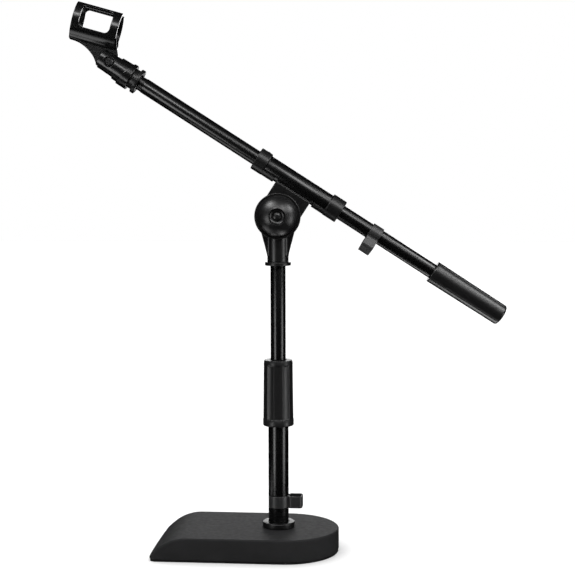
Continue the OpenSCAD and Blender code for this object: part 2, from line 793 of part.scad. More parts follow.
module mic_clip() {
  wide = 13;
  half_w = tongue_w / 2;
  window_h = barrel_r * sin(window_half);
  color(black_plastic) on_clip() difference() {
    union() {
      translate([barrel_x0, 0, barrel_up]) rotate([90, 0, 90]) linear_extrude(barrel_len) barrel_ring();
      intersection() {
        translate([0, wide, 0]) rotate([90, 0, 0]) linear_extrude(2 * wide) neck_face();
        translate([barrel_x0, 0, 0]) rotate([90, 0, 90]) linear_extrude(2 * barrel_len) polygon([
          [-half_w, -20], [half_w, -20], [half_w, 16.6], [wide, 24], [wide, barrel_up],
          [-wide, barrel_up], [-wide, 24], [-half_w, 16.6]
        ]);
      }
    }
    translate([barrel_x0 - eps, 0, barrel_up]) along_x() cylinder(r = barrel_ri, h = barrel_len + 2 * eps + 4);
    for (s = [-1, 1]) translate([0, 0, barrel_up]) rotate([s * window_mid, 0, 0])
      rotate([90, 0, 0]) translate([0, 0, s > 0 ? -barrel_d : 0]) linear_extrude(barrel_d)
        rounded_rect(window_x[0], window_x[1], -window_h, window_h, window_corner);
    translate([0, -20, 0]) along_y() cylinder(r = clip_screw_r + run, h = 40);
  }
}

module clip_screw() {
  color(black_coat) on_clip_base() difference() {
    union() {
      translate([0, -clip_recess_y, 0]) along_y() cylinder(r = clip_screw_r, h = 2 * clip_recess_y + 1.5);
      translate([0, -clip_recess_y - 2.2, 0]) along_y() cylinder(r1 = clip_head_r - 1, r2 = clip_head_r, h = 0.9);
      translate([0, -clip_recess_y - 1.3, 0]) along_y() cylinder(r = clip_head_r, h = 1.3);
    }
    for (a = [20, 110]) translate([0, -clip_recess_y - 3, 0]) rotate([0, a, 0])
      translate([-2.8, 0, -0.5]) cube([5.6, 1.9, 1]);
  }
}

module clip_nut() {
  color(zinc) on_clip_base() translate([0, clip_recess_y, 0]) along_y() difference() {
    cylinder(r = 4.7, h = 2.2, $fn = 6);
    translate([0, 0, -eps]) cylinder(r = clip_screw_r + fit, h = 4);
  }
}

// ---------------------------------------------------------------- assembly

base_casting();
base_pad();
base_bolt();
base_washer();
foot_plug();
pole_foot_ring();
lower_tube();
clutch_body();
clutch_collet();
clutch_grip();
column_cable_clip();
column_guide_bush();
upper_end_plug();
upper_tube();
upper_stud();
upper_lock_ring();
tilt_post();
friction_washers();
tilt_bracket();
boom_sleeve();
front_collar();
rear_collar();
tilt_bolt();
tilt_bolt_washer();
knob_spacer();
tilt_knob();
knob_insert();
knob_cap();
boom_lock_pad();
boom_lock_screw();
boom_lock_knob();
boom_tube();
tip_stud();
tip_ring();
thread_adapter();
clip_base();
mic_clip();
clip_screw();
clip_nut();
boom_cable_clip();
counterweight_core();
counterweight_slug();
counterweight_cover();
counterweight_cap();
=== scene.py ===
import json
import math

import bpy
import numpy as np
from mathutils import Matrix, Vector


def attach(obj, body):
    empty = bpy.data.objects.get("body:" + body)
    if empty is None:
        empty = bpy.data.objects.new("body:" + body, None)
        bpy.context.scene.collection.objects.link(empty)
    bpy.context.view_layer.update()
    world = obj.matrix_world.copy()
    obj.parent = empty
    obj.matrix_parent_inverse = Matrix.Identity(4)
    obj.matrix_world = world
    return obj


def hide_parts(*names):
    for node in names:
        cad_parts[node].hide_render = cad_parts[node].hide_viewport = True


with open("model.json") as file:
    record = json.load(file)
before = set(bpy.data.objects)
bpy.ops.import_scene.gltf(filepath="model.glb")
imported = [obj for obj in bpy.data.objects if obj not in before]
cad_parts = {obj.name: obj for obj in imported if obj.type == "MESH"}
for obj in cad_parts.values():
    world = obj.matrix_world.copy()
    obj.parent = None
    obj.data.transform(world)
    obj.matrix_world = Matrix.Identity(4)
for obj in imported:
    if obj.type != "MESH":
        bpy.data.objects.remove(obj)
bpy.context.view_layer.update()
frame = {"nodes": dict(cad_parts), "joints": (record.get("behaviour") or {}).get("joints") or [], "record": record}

MM = 0.001
NODES = frame["nodes"]
RECORD = frame["record"]
JOINTS = {j["name"]: j for j in frame["joints"]}
MOUNTS = {m["name"]: m for m in RECORD["mounts"]}

# ------------------------------------------------------------------ frames

def axes_frame(x, y, origin):
    """A 4x4 frame from its X axis, its Y axis and its origin in metres."""
    x, y = Vector(x).normalized(), Vector(y).normalized()
    z = x.cross(y).normalized()
    y = z.cross(x)
    place = Matrix((x, y, z)).transposed().to_4x4()
    place.translation = Vector(origin)
    return place


def shifted(place, dx=0.0, dz=0.0):
    """The frame, moved along its own X and Z axes by millimetres."""
    return place @ Matrix.Translation((dx * MM, 0, dz * MM))


def span(node, place):
    """Lowest and highest corner of a CAD node in a frame, in mm."""
    mesh = NODES[node].data
    points = np.empty(len(mesh.vertices) * 3, np.float32)
    mesh.vertices.foreach_get("co", points)
    into = np.array(place.inverted())
    points = points.reshape(-1, 3).astype(float) @ into[:3, :3].T + into[:3, 3]
    return points.min(0) / MM, points.max(0) / MM


BOOM_X = Vector(JOINTS["boom_slide"]["axis"])
TILT_Y = Vector(JOINTS["boom_tilt"]["axis"])
PIVOT = Vector(JOINTS["boom_tilt"]["pos_m"])
TILT = axes_frame(BOOM_X, TILT_Y, PIVOT)
COLUMN = Matrix.Identity(4)
SWUNG = axes_frame((TILT_Y.y, -TILT_Y.x, 0.0), TILT_Y, (0, 0, 0))
tube_lo, tube_hi = span("boom_tube", TILT)
LIFT = (tube_lo[2] + tube_hi[2]) / 2       # the boom's axis passes this far above the tilt bolt
BOOM = shifted(TILT, dz=LIFT)
SCREW_Y = Vector(JOINTS["clip_tilt"]["axis"])
CLIP_BASE = axes_frame(BOOM_X, SCREW_Y, JOINTS["clip_tilt"]["pos_m"])
CLIP = axes_frame(-Vector(MOUNTS["mic_clamp"]["axis"]), SCREW_Y, JOINTS["clip_tilt"]["pos_m"])

# a turned piece is drawn along Z, and these turn it along +X, +Y or -Y
ALONG_X = Matrix.Rotation(math.radians(90), 4, "Y")
ALONG_Y = Matrix.Rotation(math.radians(-90), 4, "X")
TO_FRONT = Matrix.Rotation(math.radians(90), 4, "X")

# --------------------------------------------------------------- materials

SLOW_SCALE, SLOW_DETAIL = 45.0, 3.0    # noise of the slow changes of tone and gloss
MID_SHARE, MID_DETAIL = 0.12, 3.0      # noise of the gloss, its scale as a share of the grain's
FINE_DETAIL = 4.0
EDGE_HIGHLIGHT_FROM, EDGE_HIGHLIGHT_TO = 0.52, 0.62          # pointiness where the painted edge highlight starts and where it is full
EDGE_HIGHLIGHT_GAIN, EDGE_HIGHLIGHT_LIFT = 1.6, 0.01   # how much lighter the painted edge highlight makes an edge's colour


def surface(name, color, rough, grain, bump, bump_mm, metallic=0.0, tone=0.15,
            rough_swing=0.06, edge=0.3, streak=None, specular=0.5):
    """A procedural material: fine grain, slow changes of tone and gloss, and a painted highlight that lightens the
    colour of its edges.
    """
    mat = bpy.data.materials.new(name)
    mat.use_nodes = True
    nt = mat.node_tree
    nodes, link = nt.nodes, nt.links.new
    bsdf = nodes["Principled BSDF"]
    bsdf.inputs["Metallic"].default_value = metallic
    bsdf.inputs["Specular IOR Level"].default_value = specular
    coords = nodes.new("ShaderNodeTexCoord")
    where = coords.outputs["Object"]
    if streak:
        mapping = nodes.new("ShaderNodeMapping")
        mapping.inputs["Scale"].default_value = streak
        link(where, mapping.inputs["Vector"])
        where = mapping.outputs["Vector"]

    def noise(scale, detail, source):
        n = nodes.new("ShaderNodeTexNoise")
        n.inputs["Scale"].default_value = scale
        n.inputs["Detail"].default_value = detail
        link(source, n.inputs["Vector"])
        return n.outputs["Fac"]

    def spread(value, low, high, from_low=0.3, from_high=0.7):
        m = nodes.new("ShaderNodeMapRange")
        m.inputs["From Min"].default_value = from_low
        m.inputs["From Max"].default_value = from_high
        m.inputs["To Min"].default_value = low
        m.inputs["To Max"].default_value = high
        link(value, m.inputs["Value"])
        return m.outputs["Result"]

    slow = noise(SLOW_SCALE, SLOW_DETAIL, coords.outputs["Object"])
    fine = noise(grain, FINE_DETAIL, where)
    mid = noise(grain * MID_SHARE, MID_DETAIL, where)
    geometry = nodes.new("ShaderNodeNewGeometry")
    # painted edge highlight: pointy edges get a lighter base colour, standing in for the light that rounded edges
    # catch
    rim = spread(geometry.outputs["Pointiness"], 0.0, 1.0, EDGE_HIGHLIGHT_FROM, EDGE_HIGHLIGHT_TO)

    tones = nodes.new("ShaderNodeMix")
    tones.data_type = "RGBA"
    tones.inputs["A"].default_value = (*[c * (1 - tone) for c in color], 1)
    tones.inputs["B"].default_value = (*[min(1, c * (1 + tone)) for c in color], 1)
    both_tones = nodes.new("ShaderNodeMath")
    both_tones.operation = "MULTIPLY_ADD"
    link(fine, both_tones.inputs[0])
    both_tones.inputs[1].default_value = 0.5
    link(spread(slow, 0.0, 0.5), both_tones.inputs[2])
    link(both_tones.outputs[0], tones.inputs["Factor"])
    # the painted edge highlight is mixed into the base colour; `edge` sets how strong it is
    painted_edge_highlight = nodes.new("ShaderNodeMix")
    painted_edge_highlight.data_type = "RGBA"
    painted_edge_highlight.inputs["B"].default_value = (*[min(1, c * EDGE_HIGHLIGHT_GAIN + EDGE_HIGHLIGHT_LIFT) for c in color], 1)
    edge_highlight_share = nodes.new("ShaderNodeMath")
    edge_highlight_share.operation = "MULTIPLY"
    edge_highlight_share.inputs[1].default_value = edge
    link(rim, edge_highlight_share.inputs[0])
    link(edge_highlight_share.outputs[0], painted_edge_highlight.inputs["Factor"])
    link(tones.outputs["Result"], painted_edge_highlight.inputs["A"])
    link(painted_edge_highlight.outputs["Result"], bsdf.inputs["Base Color"])

    gloss = nodes.new("ShaderNodeMath")
    gloss.operation = "ADD"
    link(spread(mid, rough - rough_swing, rough + rough_swing), gloss.inputs[0])
    link(spread(slow, -rough_swing / 2, rough_swing / 2), gloss.inputs[1])
    link(gloss.outputs[0], bsdf.inputs["Roughness"])

    relief = nodes.new("ShaderNodeBump")
    relief.inputs["Strength"].default_value = bump
    relief.inputs["Distance"].default_value = bump_mm * MM
    link(fine, relief.inputs["Height"])
    link(relief.outputs["Normal"], bsdf.inputs["Normal"])
    return mat


# each material's edge value is the strength of its painted edge highlight
COAT = surface("base_powder_coat", (0.019, 0.019, 0.0196), rough=0.60, grain=1700, bump=0.2,
               bump_mm=0.05, tone=0.2, rough_swing=0.05, edge=0.25, specular=0.06)
PAD = surface("pad_rubber", (0.006, 0.006, 0.006), rough=0.8, grain=900, bump=0.3,
              bump_mm=0.1, specular=0.2)
PAINT = surface("tube_paint", (0.0020, 0.0020, 0.0021), rough=0.27, grain=700, bump=0.03,
                bump_mm=0.004, rough_swing=0.01, edge=0.05)
JOINT_PAINT = surface("joint_paint", (0.005, 0.005, 0.0053), rough=0.34, grain=900, bump=0.05,
                      bump_mm=0.006, rough_swing=0.02, edge=0.1)
SATIN = surface("satin_plastic", (0.006, 0.006, 0.0062), rough=0.36, grain=2200, bump=0.05,
                bump_mm=0.006, rough_swing=0.02, edge=0.2, specular=0.4)
GRIP = surface("grip_plastic", (0.010, 0.010, 0.0103), rough=0.36, grain=2200, bump=0.05,
               bump_mm=0.006, rough_swing=0.02, edge=0.15, specular=0.35)
GLOSS = surface("gloss_plastic", (0.0035, 0.0035, 0.0037), rough=0.25, grain=700, bump=0.03,
                bump_mm=0.004, rough_swing=0.015, edge=0.1)
CLIP_SATIN = surface("cable_clip_plastic", (0.022, 0.022, 0.0226), rough=0.42, grain=2200, bump=0.05,
                     bump_mm=0.006, rough_swing=0.02, edge=0.3)
KNOB_GLOSS = surface("knob_plastic", (0.006, 0.006, 0.0063), rough=0.36, grain=700, bump=0.03,
                     bump_mm=0.004, rough_swing=0.015, edge=0.1)
STEEL = surface("zinc_steel", (0.60, 0.61, 0.63), rough=0.30, grain=1200, bump=0.15,
                bump_mm=0.02, metallic=1.0, tone=0.1, streak=(1, 1, 14))
NYLON = surface("natural_nylon", (0.80, 0.79, 0.73), rough=0.45, grain=1500, bump=0.1,
                bump_mm=0.03, tone=0.05)
WEIGHT = surface("weight_cover", (0.007, 0.007, 0.0072), rough=0.34, grain=2200, bump=0.06,
                 bump_mm=0.01, rough_swing=0.02, edge=0.15)
BRASS = surface("turned_brass", (0.83, 0.58, 0.20), rough=0.24, grain=900, bump=0.1,
                bump_mm=0.02, metallic=1.0, tone=0.08, streak=(1, 1, 20))
FINISH = {"base_coat": COAT, "pad_rubber": PAD, "steel_zinc": STEEL, "tube_black": PAINT,
          "joint_black": JOINT_PAINT, "plastic_satin": SATIN, "plastic_gloss": GLOSS,
          "nylon_white": NYLON, "weight_cover": WEIGHT, "brass_gold": BRASS}
SLOT_OF = {s["node"]: s["material_slot"] for s in RECORD["subparts"]}
BODY_OF = {n: b for b, ns in RECORD["behaviour"]["bodies"].items() for n in ns}

# ------------------------------------------------------------ mesh helpers


def add_piece(name, verts, faces, place, node, material, normals=None, sharp=None):
    """A new mesh from points in mm in the frame `place`, standing for a CAD node."""
    mesh = bpy.data.meshes.new(name)
    to_world = np.array(place)
    world = (np.asarray(verts, float) * MM) @ to_world[:3, :3].T + to_world[:3, 3]
    mesh.from_pydata(world.tolist(), [], [list(map(int, f)) for f in faces])
    mesh.validate()
    for p in mesh.polygons:
        p.use_smooth = True
    if normals is not None:
        mesh.normals_split_custom_set_from_vertices((np.asarray(normals) @ to_world[:3, :3].T).tolist())
    elif sharp is not None:
        mesh.set_sharp_from_angle(angle=math.radians(sharp))
    obj = bpy.data.objects.new(name, mesh)
    bpy.context.scene.collection.objects.link(obj)
    obj.data.materials.append(material)
    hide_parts(node)
    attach(obj, BODY_OF[node])


ON_AXIS = 1e-6          # mm, a smaller radius is one point on the axis
CORNER_SHARE = 0.49     # a rounded corner takes at most this share of each side


def rounded(points, steps=5):
    """A path of (r, h) or (r, h, radius) points with its corners rounded."""
    out = []
    for i, p in enumerate(points):
        here = np.array(p[:2], float)
        if len(p) < 3:
            out.append(here)
            continue
        a = np.array(points[i - 1][:2], float) - here
        b = np.array(points[i + 1][:2], float) - here
        la, lb = np.linalg.norm(a), np.linalg.norm(b)
        a, b = a / la, b / lb
        half = math.acos(max(-1, min(1, float(a @ b)))) / 2
        cut = min(p[2] / math.tan(half), la * CORNER_SHARE, lb * CORNER_SHARE)
        real = cut * math.tan(half)
        centre = here + (a + b) / np.linalg.norm(a + b) * (real / math.sin(half))
        start, end = here + a * cut - centre, here + b * cut - centre
        turn = math.acos(max(-1, min(1, float(start @ end) / real ** 2)))
        for k in range(steps + 1):
            t = k / steps
            v = (start * math.sin((1 - t) * turn) + end * math.sin(t * turn)) / math.sin(turn)
            out.append(centre + v)
    return out


def turned_mesh(path, segments, radius_at=None):
    """Vertices and faces of a path turned about Z. The path runs up the outside."""
    verts, rings = [], []
    angles = [2 * math.pi * k / segments for k in range(segments)]
    for r, h in path:
        if r < ON_AXIS:
            rings.append([len(verts)])
            verts.append((0, 0, h))
            continue
        rings.append(list(range(len(verts), len(verts) + segments)))
        for a in angles:
            radius = radius_at(r, h, a) if radius_at else r
            verts.append((radius * math.cos(a), radius * math.sin(a), h))
    faces = []
    for low, high in zip(rings, rings[1:]):
        for k in range(segments):
            j = (k + 1) % segments
            if len(low) == 1:
                faces.append((low[0], high[j], high[k]))
            elif len(high) == 1:
                faces.append((low[k], low[j], high[0]))
            else:
                faces.append((low[k], low[j], high[j], high[k]))
    return verts, faces


def turned(name, node, path, place, material, segments=96, radius_at=None, sharp=32, closed=True):
    """A turned piece. A closed path joins its last ring to its first."""
    if closed:
        path = list(path) + [path[0]]
    verts, faces = turned_mesh(path, segments, radius_at)
    if closed:
        last = len(verts) - segments
        verts = verts[:last]
        faces = [tuple(v - last if v >= last else v for v in f) for f in faces]
    add_piece(name, verts, faces, place, node, material, sharp=sharp)


# ----------------------------------------------------- solids from distance


def length(*parts):
    return np.sqrt(sum(p * p for p in parts))


def slab(v, low, high):
    """Distance to the layer between two planes, negative inside."""
    return np.abs(v - (low + high) / 2) - (high - low) / 2


def meet(radius, *solids):
    """What all the solids share, with its outer edges rounded."""
    inner = np.maximum.reduce(solids)
    return np.minimum(inner, -radius) + length(*[np.maximum(s + radius, 0) for s in solids])


def join(radius, a, b):
    """Both solids, with a fillet where they meet."""
    outer = np.minimum(a, b)
    return np.maximum(outer, radius) - length(np.maximum(radius - a, 0), np.maximum(radius - b, 0))


def box2(u, v, half_u, half_v, corner):
    """Signed distance to a rectangle with rounded corners."""
    qu, qv = np.abs(u) - half_u + corner, np.abs(v) - half_v + corner
    return length(np.maximum(qu, 0), np.maximum(qv, 0)) + np.minimum(np.maximum(qu, qv), 0) - corner


def polygon2(u, v, points):
    """Signed distance to a closed polygon."""
    best = np.full(u.shape, 1e9)
    sign = np.ones(u.shape)
    n = len(points)
    for i in range(n):
        ax, ay = points[i]
        bx, by = points[i - 1]
        ex, ey = bx - ax, by - ay
        wx, wy = u - ax, v - ay
        t = np.clip((wx * ex + wy * ey) / (ex * ex + ey * ey), 0, 1)
        best = np.minimum(best, (wx - ex * t) ** 2 + (wy - ey * t) ** 2)
        c1, c2, c3 = v >= ay, v < by, ex * wy > ey * wx
        flip = (c1 & c2 & c3) | (~c1 & ~c2 & ~c3)
        sign = np.where(flip, -sign, sign)
    return sign * np.sqrt(best)


GRID_MARGIN = 2.5     # cells round the solid
MOVES = 3             # moves of the vertices onto the surface
MOVE_LIMIT = 0.6      # furthest that a vertex moves, in cells
PROBE = 0.02          # mm, for the slope of a distance function
FLATTEST = 0.05       # smallest squared slope that is divided by


def net(solid, low, high, step):
    """Vertices, quads and normals of the zero surface of a distance function."""
    low = np.asarray(low, float) - GRID_MARGIN * step
    n = np.ceil((np.asarray(high, float) + GRID_MARGIN * step - low) / step).astype(int) + 1
    grid = np.meshgrid(*[low[i] + step * np.arange(n[i]) for i in range(3)], indexing="ij")
    d = solid(*grid)
    cells = n - 1
    total = np.zeros((*cells, 3))
    count = np.zeros(cells)
    crossings = []
    for a in range(3):
        b, c = (a + 1) % 3, (a + 2) % 3
        lo, hi = [slice(None)] * 3, [slice(None)] * 3
        lo[a], hi[a] = slice(0, -1), slice(1, None)
        d0, d1 = d[tuple(lo)], d[tuple(hi)]
        cross = (d0 < 0) != (d1 < 0)
        t = np.where(cross, d0 / np.where(cross, d0 - d1, 1), 0)
        for ob in (0, 1):
            for oc in (0, 1):
                pick = [slice(None)] * 3
                pick[b], pick[c] = slice(ob, ob + cells[b]), slice(oc, oc + cells[c])
                m = cross[tuple(pick)]
                total[..., a] += t[tuple(pick)]
                total[..., b] += m * ob
                total[..., c] += m * oc
                count += m
        crossings.append((cross, d0 < 0))
    active = count > 0
    ids = np.full(tuple(cells), -1)
    ids[active] = np.arange(active.sum())
    verts = low + step * (np.argwhere(active) + total[active] / count[active][:, None])
    quads = []
    for a, (cross, outward) in enumerate(crossings):
        b, c = (a + 1) % 3, (a + 2) % 3
        e = np.argwhere(cross)
        e = e[(e[:, b] > 0) & (e[:, b] < n[b] - 1) & (e[:, c] > 0) & (e[:, c] < n[c] - 1)]
        out = outward[tuple(e.T)]
        corner = []
        for ob, oc in ((1, 1), (0, 1), (0, 0), (1, 0)):
            q = e.copy()
            q[:, b] -= ob
            q[:, c] -= oc
            corner.append(ids[tuple(q.T)])
        q = np.stack(corner, -1)
        q[~out] = q[~out][:, ::-1]
        quads.append(q)
    start = verts.copy()
    for turn in range(MOVES + 1):
        x, y, z = verts.T
        slope = np.stack([solid(x + PROBE, y, z) - solid(x - PROBE, y, z),
                          solid(x, y + PROBE, z) - solid(x, y - PROBE, z),
                          solid(x, y, z + PROBE) - solid(x, y, z - PROBE)], -1) / (2 * PROBE)
        size = np.maximum((slope * slope).sum(-1), FLATTEST)
        if turn < MOVES:
            move = verts - slope * (solid(x, y, z) / size)[:, None] - start
            far = np.maximum(np.linalg.norm(move, axis=1) / (MOVE_LIMIT * step), 1)
            verts = start + move / far[:, None]
    return verts, np.concatenate(quads), slope / np.sqrt(size)[:, None]


def moulded(name, node, solid, low, high, step, place, material):
    """A piece from a distance function, in mm in the frame `place`."""
    verts, quads, normals = net(solid, low, high, step)
    add_piece(name, verts, quads, place, node, material, normals=normals)


# -------------------------------------------------------------------- base

BASE_LO, BASE_HI = span("base_casting", COLUMN)
STRAIGHT_X, ROUND_END = BASE_LO[0], BASE_HI[0]
PAD_TOP, BASE_TOP = BASE_LO[2], BASE_HI[2]
BASE_R = (BASE_HI[1] - BASE_LO[1]) / 2
ROUND_X = ROUND_END - BASE_R
BOW_R, CORNER_R, BEVEL, FOOT_EDGE = 900.0, 8.0, 1.8, 0.3
NOSE_R, NOSE_RUN, NOSE_SLOPE = 48.0, 41.0, math.radians(40)


def base_plan(x, y):
    """A round end under the pole, straight sides and a slightly bowed straight end."""
    body = box2(x - (STRAIGHT_X + ROUND_X) / 2, y, (ROUND_X - STRAIGHT_X) / 2, BASE_R, CORNER_R)
    sides = np.maximum(np.abs(y) - BASE_R, STRAIGHT_X - x)
    left = np.where(x < STRAIGHT_X + CORNER_R, body, sides)
    plan = np.where(x > ROUND_X, length(x - ROUND_X, y) - BASE_R, left)
    return np.maximum(plan, length(x - STRAIGHT_X - BOW_R, y) - BOW_R)


def base_solid(x, y, z):
    """The plan with a bevelled top edge, rolling down over a steep ramp at the straight end."""
    u, v = x - (STRAIGHT_X + NOSE_RUN), z - (BASE_TOP - NOSE_R)
    ramp = v * math.cos(NOSE_SLOPE) - u * math.sin(NOSE_SLOPE) - NOSE_R
    on_ramp = u * math.cos(NOSE_SLOPE) + v * math.sin(NOSE_SLOPE) < 0
    nose = np.where(on_ramp, ramp, length(u, v) - NOSE_R)
    top = np.where(u < 0, nose, z - BASE_TOP)
    plan = base_plan(x, y)
    return np.maximum(meet(BEVEL, plan, top), meet(FOOT_EDGE, plan, PAD_TOP - z))


moulded("weighted_base", "base_casting", base_solid, BASE_LO, BASE_HI, 1.1, COLUMN, COAT)

# ------------------------------------------------------------------ column

LOWER_WALL, SLIM_WALL, TUBE_EDGE = 1.6, 1.2, 0.3
LOWER_R = span("lower_tube", COLUMN)[1][0]
SLIM_R = span("upper_tube", COLUMN)[1][0]


def tube_path(r_out, r_in, z0, z1):
    return rounded([(r_in, z0), (r_out, z0, TUBE_EDGE), (r_out, z1, TUBE_EDGE), (r_in, z1)], 3)


for node, r_out, wall in (("lower_tube", LOWER_R, LOWER_WALL), ("upper_tube", SLIM_R, SLIM_WALL)):
    lo, hi = span(node, COLUMN)
    turned("column_" + node, node, tube_path(r_out, r_out - wall, lo[2], hi[2]), COLUMN, PAINT, 128)

lo, hi = span("pole_foot_ring", COLUMN)
FOOT_BORE = LOWER_R + 0.02
foot_ring = [(FOOT_BORE, lo[2]), (hi[0] - 0.2, lo[2], 0.2), (hi[0], lo[2] + 1, 0.4),
             (hi[0], hi[2] - 0.1, 0.9), (LOWER_R + 1.2, hi[2], 0.2), (FOOT_BORE, hi[2] - 0.6)]
turned("pole_foot_ring_moulded", "pole_foot_ring", rounded(foot_ring), COLUMN, SATIN, 128)

lo, hi = span("upper_lock_ring", COLUMN)
lock_ring = [(SLIM_R, lo[2]), (hi[0], lo[2], 0.6), (hi[0], hi[2], 0.6), (SLIM_R, hi[2])]
turned("upper_lock_ring_turned", "upper_lock_ring", rounded(lock_ring), COLUMN, SATIN)

# twist clutch: a plain rim below, flutes above with rounded tops; heights are from its foot
CLUTCH_LO, CLUTCH_HI = span("clutch_grip", COLUMN)
CLUTCH_H = CLUTCH_HI[2] - CLUTCH_LO[2]
GRIP_LOW, GRIP_HIGH, GRIP_TOP = 16.2, 15.3, 14.6
RIM_H, RIM_STEP, TAPER_FROM, SHOULDER = 7.0, 0.25, 9.0, CLUTCH_H - 4.0
FLUTES, FLUTE_TURN, FLUTE_DEPTH = 11, math.radians(-85), 1.05
FLUTE_SHARE = 0.92        # of the pitch
FLUTE_FULLNESS = 0.8      # a power, lower is fuller
FLUTE_RUN_IN, FLUTE_RUN_OUT, FLUTE_END = 1.2, 3.0, CLUTCH_H - 4.6


def grip_radius(r, h, a):
    """The grip's radius r at height h, less the depth of a flute at angle a."""
    up = h - CLUTCH_LO[2]
    if r < GRIP_TOP - 1.0 or up < RIM_H:
        return r
    phase = ((a - FLUTE_TURN) * FLUTES / (2 * math.pi)) % 1.0
    off = abs(phase - 0.5) * 2                # 1 in a flute's middle, 0 on a ridge
    dip = math.cos(math.pi / 2 * min(1.0, (1 - off) / FLUTE_SHARE)) ** FLUTE_FULLNESS
    rise = min(1.0, (up - RIM_H) / FLUTE_RUN_IN)
    fall = min(1.0, max(0.0, (FLUTE_END - up) / FLUTE_RUN_OUT))
    return r - FLUTE_DEPTH * dip * (3 * rise ** 2 - 2 * rise ** 3) * math.sqrt(1 - (1 - fall) ** 2)


def grip_path():
    """A plain rim, a small step in, a slow taper and a rounded shoulder."""
    z0 = CLUTCH_LO[2]
    low_r = GRIP_LOW - RIM_STEP
    path = rounded([(LOWER_R + 0.4, z0), (GRIP_LOW, z0, 1.3), (GRIP_LOW, z0 + RIM_H)])
    for up in (0.15, 0.4, 0.7, 1.0, 1.4, 2.0):
        path.append((GRIP_LOW - RIM_STEP * min(1, up / 0.5), z0 + RIM_H + up))
    # rings are closer together near the top, where the flutes run out
    for up in (*np.linspace(12, CLUTCH_H - 9.5, 12), *np.linspace(CLUTCH_H - 9, SHOULDER, 14)):
        t = (up - TAPER_FROM) / (SHOULDER - TAPER_FROM)
        path.append((low_r + (GRIP_HIGH - low_r) * t, z0 + up))
    path += rounded([(GRIP_HIGH, z0 + SHOULDER + 0.3), (GRIP_TOP + 0.25, z0 + CLUTCH_H - 1.2, 1.0),
                     (GRIP_TOP, z0 + CLUTCH_H, 0.5), (SLIM_R + 0.9, z0 + CLUTCH_H, 0.4),
                     (SLIM_R + 0.4, z0 + CLUTCH_H - 1.5)], 4)
    return path


turned("clutch_grip_fluted", "clutch_grip", grip_path(), COLUMN, GRIP, FLUTES * 26, grip_radius,
       sharp=40)

# ------------------------------------------------------------- cable clips

STRIP, LOOP_DEPTH, LOOP_REACH, LOOP_CORNER = 1.4, 17.0, 15.0, 3.6
MOUTH_HALF, WAIST_HALF = math.radians(34), math.radians(14)
CLIP_PLAY, CLIP_FILLET, CLIP_STEP = 0.06, 0.8, 0.42
BOOM_CLIP_ROLL = math.radians(-32)


def cable_clip(tube_r, height):
    """A strip that hugs the tube, pinches in and opens into a loop on the +X side."""
    r_in = tube_r + CLIP_PLAY
    x0, x1 = r_in + 0.2, tube_r + LOOP_REACH
    mid_x, half_x = (x0 + x1) / 2, (x1 - x0) / 2
    waist = r_in * math.sin(WAIST_HALF)

    def solid(x, y, z):
        rho = length(x, y)
        hug = np.abs(rho - r_in - STRIP / 2) - STRIP / 2
        mouth = np.abs(y) - np.abs(x) * math.tan(MOUTH_HALF)
        hug = np.where(x < 0, meet(0.3, hug, -mouth * math.cos(MOUTH_HALF)), hug)
        outer = box2(x - mid_x, y, half_x, LOOP_DEPTH / 2, LOOP_CORNER)
        loop = np.abs(outer + STRIP / 2) - STRIP / 2
        loop = meet(0.1, loop, r_in - rho)
        both = join(CLIP_FILLET, hug, loop)
        gap = np.maximum(np.abs(y) - waist, slab(x, 0, x0 + STRIP + 1))
        return meet(0.25, np.maximum(both, -gap), slab(z, 0, height))

    return solid, (-r_in - 2, -r_in - 2, 0), (x1, r_in + 2, height)


lo, hi = span("column_cable_clip", COLUMN)
solid, low, high = cable_clip(LOWER_R, hi[2] - lo[2])
moulded("column_cable_clip_moulded", "column_cable_clip", solid, low, high, CLIP_STEP,
        shifted(COLUMN, dz=lo[2]), CLIP_SATIN)
lo, hi = span("boom_cable_clip", BOOM)
solid, low, high = cable_clip(SLIM_R, hi[0] - lo[0])
moulded("boom_cable_clip_moulded", "boom_cable_clip", solid, low, high, CLIP_STEP,
        shifted(BOOM, dx=lo[0]) @ Matrix.Rotation(BOOM_CLIP_ROLL, 4, "X") @ ALONG_X, CLIP_SATIN)

# -------------------------------------------------------------- tilt joint

POST_LO, POST_HI = span("tilt_post", SWUNG)
PIVOT_Z = PIVOT.z / MM
POST_R, FLARE_Z, BOSS_TOP, TONGUE_R, TONGUE_HALF = 11.1, 314.2, 333.4, 21.0, 6.0
BOLT_BORE_R, CAST_EDGE, CAST_STEP = 4.06, 0.7, 0.7


def post_solid(x, y, z):
    """A round boss that flares into a flat tongue with a round top."""
    rise = PIVOT_Z - FLARE_Z
    reach = math.hypot(POST_R, rise)
    lean = math.atan2(POST_R, rise) + math.acos(TONGUE_R / reach)
    side_x, side_z = TONGUE_R * math.sin(lean), -TONGUE_R * math.cos(lean)
    v = z - PIVOT_Z
    flare = polygon2(x, v, [(-POST_R, -rise), (POST_R, -rise), (side_x, side_z), (0, TONGUE_R / 2),
                            (-side_x, side_z)])
    face = np.minimum(length(x, v) - TONGUE_R, flare)
    tongue = meet(0.8, face, np.abs(y) - TONGUE_HALF)
    boss = meet(CAST_EDGE, length(x, y) - POST_R, slab(z, POST_LO[2], BOSS_TOP))
    both = join(1.2, tongue, boss)
    return np.maximum(both, -(length(x, v) - BOLT_BORE_R))


moulded("tilt_post_cast", "tilt_post", post_solid, POST_LO, POST_HI, CAST_STEP, SWUNG, JOINT_PAINT)

CHEEK_IN, CHEEK_OUT, BRACKET_HALF, BRIDGE_LOW = 6.95, 10.9, 20.85, 23.4
BRACKET_TOP = LIFT - 9
SLEEVE_R, SLEEVE_BORE = span("boom_sleeve", BOOM)[1][2], 8.9
SLEEVE_SEAT = SLEEVE_R + 0.03


